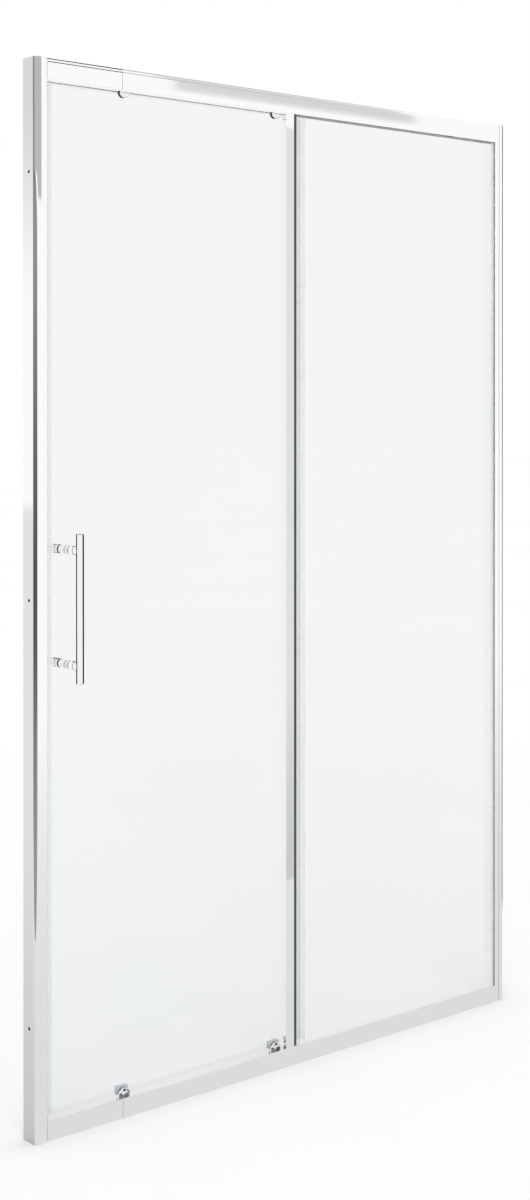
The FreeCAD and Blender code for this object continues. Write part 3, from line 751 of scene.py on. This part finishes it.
def light_link(card, names, state):
    """INCLUDE lights only these pieces, EXCLUDE all but these. The rest see the card black."""
    linked = bpy.data.collections.new(card.name + "_pieces")
    for name in names:
        linked.objects.link(bpy.data.objects[name])
    for entry in linked.collection_objects:
        entry.light_linking.link_state = state
    card.light_linking.receiver_collection = linked


def dark_for(card, names):
    """The white card is black in the gloss of these pieces and doesn't show in any other."""
    light_link(card, names, "EXCLUDE")


def standing(degrees):
    """The turn of a card that stands up, its width turned from X by so many degrees."""
    return (pi / 2, 0.0, radians(degrees))


POST = ["post_profile_rounded"]
RAILS = [level + "_rail" + end + "_rounded"
         for level in ("top", "bottom") for end in ("", "_end_piece")]
LEFT_CHANNEL = ["wall_channel_left_rounded"]

# name, the pieces that see it dark, place, turn, width and height, fade, veil
LINKED_CARDS = (
    ("post", POST, (0.83, -1.0, 1.03), FACING_Y, (0.14, 2.02), EVEN, (0.77, 0.77)),
    ("back", RAILS, (1.0, 7.0, 5.5), FACING_Y, (12.0, 7.0), EVEN, (0.1, 0.1)),
    # the side face of the left wall channel, then its band, its round corner and its top
    ("floor_left", LEFT_CHANNEL, (-6.6, 5.0, 0.0004), (0.0, 0.0, pi / 2), (24.0, 12.0),
     (-0.1, 0.14), (0.5, 0.79)),
    ("side", LEFT_CHANNEL, (-4.6, 5.2, 3.9), standing(35), (4.0, 4.4), (0.0, 0.3), (1.0, 0.72)),
    ("near_low", LEFT_CHANNEL, (-1.46, -0.51, 0.48), standing(-60), (4.2, 0.84), EVEN, (0.42, 0.1)),
    ("near_high", LEFT_CHANNEL, (-1.46, -0.51, 1.365), standing(-60), (4.2, 0.93), EVEN,
     (0.1, 0.3)),
    ("near_corner", LEFT_CHANNEL, (-2.04, 0.49, 2.3), standing(-60), (1.96, 0.94), EVEN,
     (0.25, 0.25)),
    ("near_crown", LEFT_CHANNEL, (-0.876, -0.971, 2.3), standing(-16), (2.75, 0.94), EVEN,
     (0.5, 0.5)),
)


def common_cards():
    """Dark and pale cards that every piece of bright metal sees, and the top rail's own ceiling."""
    reflection_card("card_right", (5.0, -0.3, 2.0), FACING_X, (4.4, 4.0), DARK)
    reflection_card("card_right_near", (1.3, 0.1, 1.1), FACING_X, (1.1, 2.2), DARK)
    reflection_card("card_left", (-0.5, 5.0, 2.0), FACING_Y, (3.2, 4.0), DARK, veil=(0.4, 0.4))
    reflection_card("card_ceiling", (0.0, 0.0, 4.2), LYING, (5.0, 5.0), DARK)
    grey = ("#B4B4B4", "#B4B4B4")
    rail_ceiling = reflection_card("card_ceiling_rail", (0.0, 0.0, 4.15), LYING, (5.0, 5.0), grey)
    light_link(rail_ceiling, ["top_rail_rounded"], "INCLUDE")
    pale = ("#D8D8D9", "#D8D8D9")
    reflection_card("card_brow", (4.37, -5.0, 3.5), FACING_Y, (1.8, 1.0), pale)
    reflection_card("card_floor_front", (2.0, -2.0195, 0.0005), (0.0, 0.0, pi), (14.0, 4.0),
                    ("#DFE0E1", "#FFFFFF"))


def handle_cards():
    """Narrow cards close to the handle, which line both sides of its bar and its turned pieces."""
    chromes = [obj.name for obj in bpy.data.objects
               if obj.active_material and obj.active_material.name.startswith("chrome_plate")]
    overhang = 40 * MM
    low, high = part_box("handle_bar")
    bar = (low + high) / 2
    height = high.z - low.z + overhang
    for name, around, away, width, darkened in (
            ("left", 118, 25 * MM, 31 * MM, ["handle_bar_rounded"]),
            ("right", -7, 40 * MM, 75 * MM, chromes)):
        place = bar + Matrix.Rotation(radians(around), 4, "Z") @ Vector((away, 0, 0))
        turn = standing(around - 90)
        card = reflection_card("card_handle_" + name, place, turn, (width, height), WHITE)
        dark_for(card, darkened)
    to_the_right, width = 20 * MM, 37 * MM
    for node, y in (("handle_standoffs", -4 * MM), ("handle_inner_knobs", 60 * MM)):
        low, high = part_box(node)
        place = (high.x + to_the_right, y, (low.z + high.z) / 2)
        size = (width, high.z - low.z + overhang)
        card = reflection_card("card_" + node, place, FACING_Y, size, WHITE)
        dark_for(card, [node + "_rounded"])


def reflection_cards():
    """All cards round the object."""
    common_cards()
    for name, darkened, place, turn, size, fade, veil in LINKED_CARDS:
        dark_for(reflection_card("card_" + name, place, turn, size, WHITE, fade, veil), darkened)
    handle_cards()


def soft_sun(name, direction_from, strength):
    """A wide soft light that is the same all over the floor."""
    lamp = bpy.data.lights.new(name, "SUN")
    lamp.angle = radians(50)
    lamp.energy = strength
    obj = bpy.data.objects.new(name, lamp)
    bpy.context.scene.collection.objects.link(obj)
    obj.rotation_euler = Vector(direction_from).to_track_quat("Z", "Y").to_euler()
    obj.visible_glossy = False


def photo_camera():
    """The photograph's viewpoint: left of the enclosure at chest height, the lens shifted down."""
    below_level, right_of_y = 0.23, 39.92
    data = bpy.data.cameras.new("camera")
    data.lens = 53.25
    data.sensor_width = 36.0
    data.shift_y = -0.1536
    data.clip_end = 100.0
    camera = bpy.data.objects.new("camera", data)
    bpy.context.scene.collection.objects.link(camera)
    camera.location = (-2.2749, -2.6450, 1.2860)
    camera.rotation_euler = (radians(90 - below_level), 0.0, -radians(right_of_y))
    bpy.context.scene.camera = camera


class SHOWER_OT_stage(bpy.types.Operator):
    """White floor and background, soft lamps and the photograph's camera"""
    bl_idname = "shower.stage"
    bl_label = "Stage"

    def execute(self, context):
        studio_world()
        studio_floor()
        reflection_cards()
        soft_sun("key_sun", (-2.5, -4.0, 4.0), 0.725)
        photo_camera()
        context.scene.view_settings.view_transform = "Standard"
        return {"FINISHED"}


STEPS = (SHOWER_OT_frame_profiles, SHOWER_OT_glass_panes, SHOWER_OT_gaskets, SHOWER_OT_door_seals,
         SHOWER_OT_handle, SHOWER_OT_top_rollers, SHOWER_OT_bottom_guides, SHOWER_OT_frame_screws,
         SHOWER_OT_stage)


class SHOWER_PT_panel(bpy.types.Panel):
    """Sidebar panel with the enclosure's sizes, colours and steps"""
    bl_label = "Shower enclosure"
    bl_idname = "SHOWER_PT_panel"
    bl_space_type = "VIEW_3D"
    bl_region_type = "UI"
    bl_category = "Shower"

    def draw(self, context):
        for name in EnclosureLooks.__annotations__:
            self.layout.prop(context.scene.enclosure_looks, name)
        for step in STEPS:
            self.layout.operator(step.bl_idname)


CLASSES = (EnclosureLooks, *STEPS, SHOWER_PT_panel)


def register():
    for cls in CLASSES:
        bpy.utils.register_class(cls)
    bpy.types.Scene.enclosure_looks = bpy.props.PointerProperty(type=EnclosureLooks)


def unregister():
    del bpy.types.Scene.enclosure_looks
    for cls in reversed(CLASSES):
        bpy.utils.unregister_class(cls)


def main():
    register()
    for step in STEPS:
        group, name = step.bl_idname.split(".")
        getattr(getattr(bpy.ops, group), name)()


if __name__ == "__main__":
    main()
